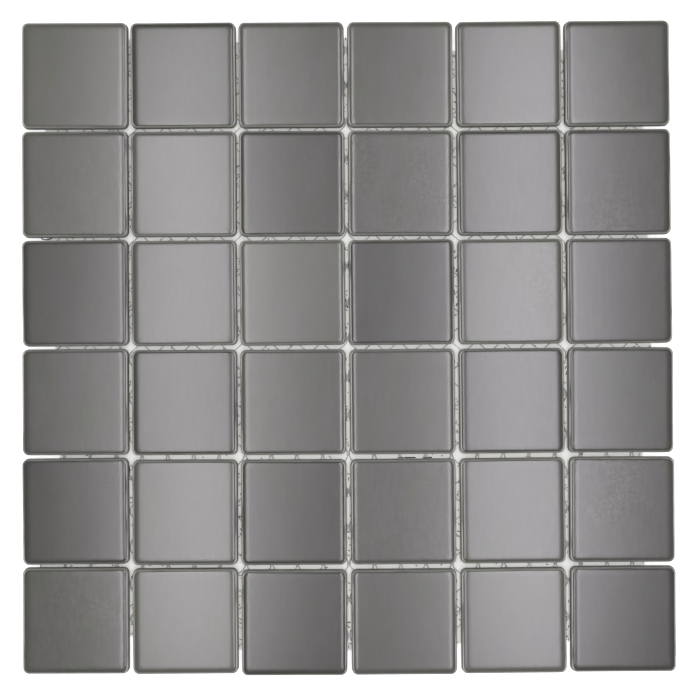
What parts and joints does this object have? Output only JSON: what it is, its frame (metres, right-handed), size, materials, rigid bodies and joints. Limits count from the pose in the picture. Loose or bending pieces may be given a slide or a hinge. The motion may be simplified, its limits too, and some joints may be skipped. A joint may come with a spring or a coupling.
{
  "type": "mosaic tile sheet",
  "caption": "Square sheet of grey satin-glazed porcelain mosaic tiles with cushioned edges, held on a white knitted net with open joints, ready to be laid and grouted.",
  "frame": {"origin": "on the underside of the net, under the middle of the sheet's outline", "axes": "+Z out of the glazed faces, +Y towards the head row, +X towards the last column"},
  "size_m": [0.2986, 0.2992, 0.006],
  "materials": {
    "tile_glaze": "satin",
    "net_yarn": "matte"
  },
  "bodies": {
    "root": {"tile_r1_c1": "tile_glaze", "tile_r1_c2": "tile_glaze", "tile_r1_c3": "tile_glaze", "tile_r1_c4": "tile_glaze", "tile_r1_c5": "tile_glaze", "tile_r1_c6": "tile_glaze", "tile_r2_c1": "tile_glaze", "tile_r2_c2": "tile_glaze", "tile_r2_c3": "tile_glaze", "tile_r2_c4": "tile_glaze", "tile_r2_c5": "tile_glaze", "tile_r2_c6": "tile_glaze", "tile_r3_c1": "tile_glaze", "tile_r3_c2": "tile_glaze", "tile_r3_c3": "tile_glaze", "tile_r3_c4": "tile_glaze", "tile_r3_c5": "tile_glaze", "tile_r3_c6": "tile_glaze", "tile_r4_c1": "tile_glaze", "tile_r4_c2": "tile_glaze", "tile_r4_c3": "tile_glaze", "tile_r4_c4": "tile_glaze", "tile_r4_c5": "tile_glaze", "tile_r4_c6": "tile_glaze", "tile_r5_c1": "tile_glaze", "tile_r5_c2": "tile_glaze", "tile_r5_c3": "tile_glaze", "tile_r5_c4": "tile_glaze", "tile_r5_c5": "tile_glaze", "tile_r5_c6": "tile_glaze", "tile_r6_c1": "tile_glaze", "tile_r6_c2": "tile_glaze", "tile_r6_c3": "tile_glaze", "tile_r6_c4": "tile_glaze", "tile_r6_c5": "tile_glaze", "tile_r6_c6": "tile_glaze", "net_left": "net_yarn", "net_middle": "net_yarn", "net_right": "net_yarn"}
  },
  "joints": []
}
